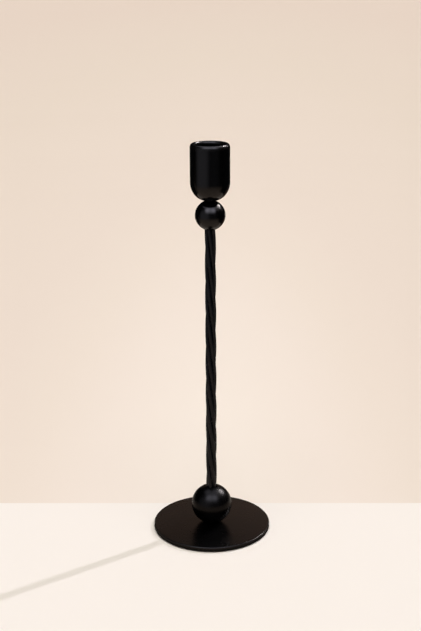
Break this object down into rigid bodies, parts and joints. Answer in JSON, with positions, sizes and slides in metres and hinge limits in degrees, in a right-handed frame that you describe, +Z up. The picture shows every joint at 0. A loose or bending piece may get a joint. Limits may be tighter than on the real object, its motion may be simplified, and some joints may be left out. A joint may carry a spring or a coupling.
{
  "type": "candlestick",
  "caption": "Tall black metal candlestick: round base plate, ball, stem of twisted round rods, smaller ball and a turned cup for a taper candle.",
  "frame": {"origin": "centre of the felt pad's underside, on the surface the candlestick stands on", "axes": "+Z up along the stem, towards the candle cup"},
  "size_m": [0.09, 0.09, 0.301],
  "materials": {
    "black_coat": "smooth satin black coat on steel",
    "bright_steel": "zinc plated steel",
    "felt": "pressed dark grey felt"
  },
  "bodies": {
    "root": {"base_pad": "felt", "base_plate": "black_coat", "base_screw": "bright_steel", "lower_ball": "black_coat", "stem_core": "bright_steel", "stem_rod_1": "black_coat", "stem_rod_2": "black_coat", "stem_rod_3": "black_coat", "stem_rod_4": "black_coat", "stem_rod_5": "black_coat", "upper_ball": "black_coat", "cup_screw": "bright_steel", "candle_cup": "black_coat"}
  },
  "joints": []
}
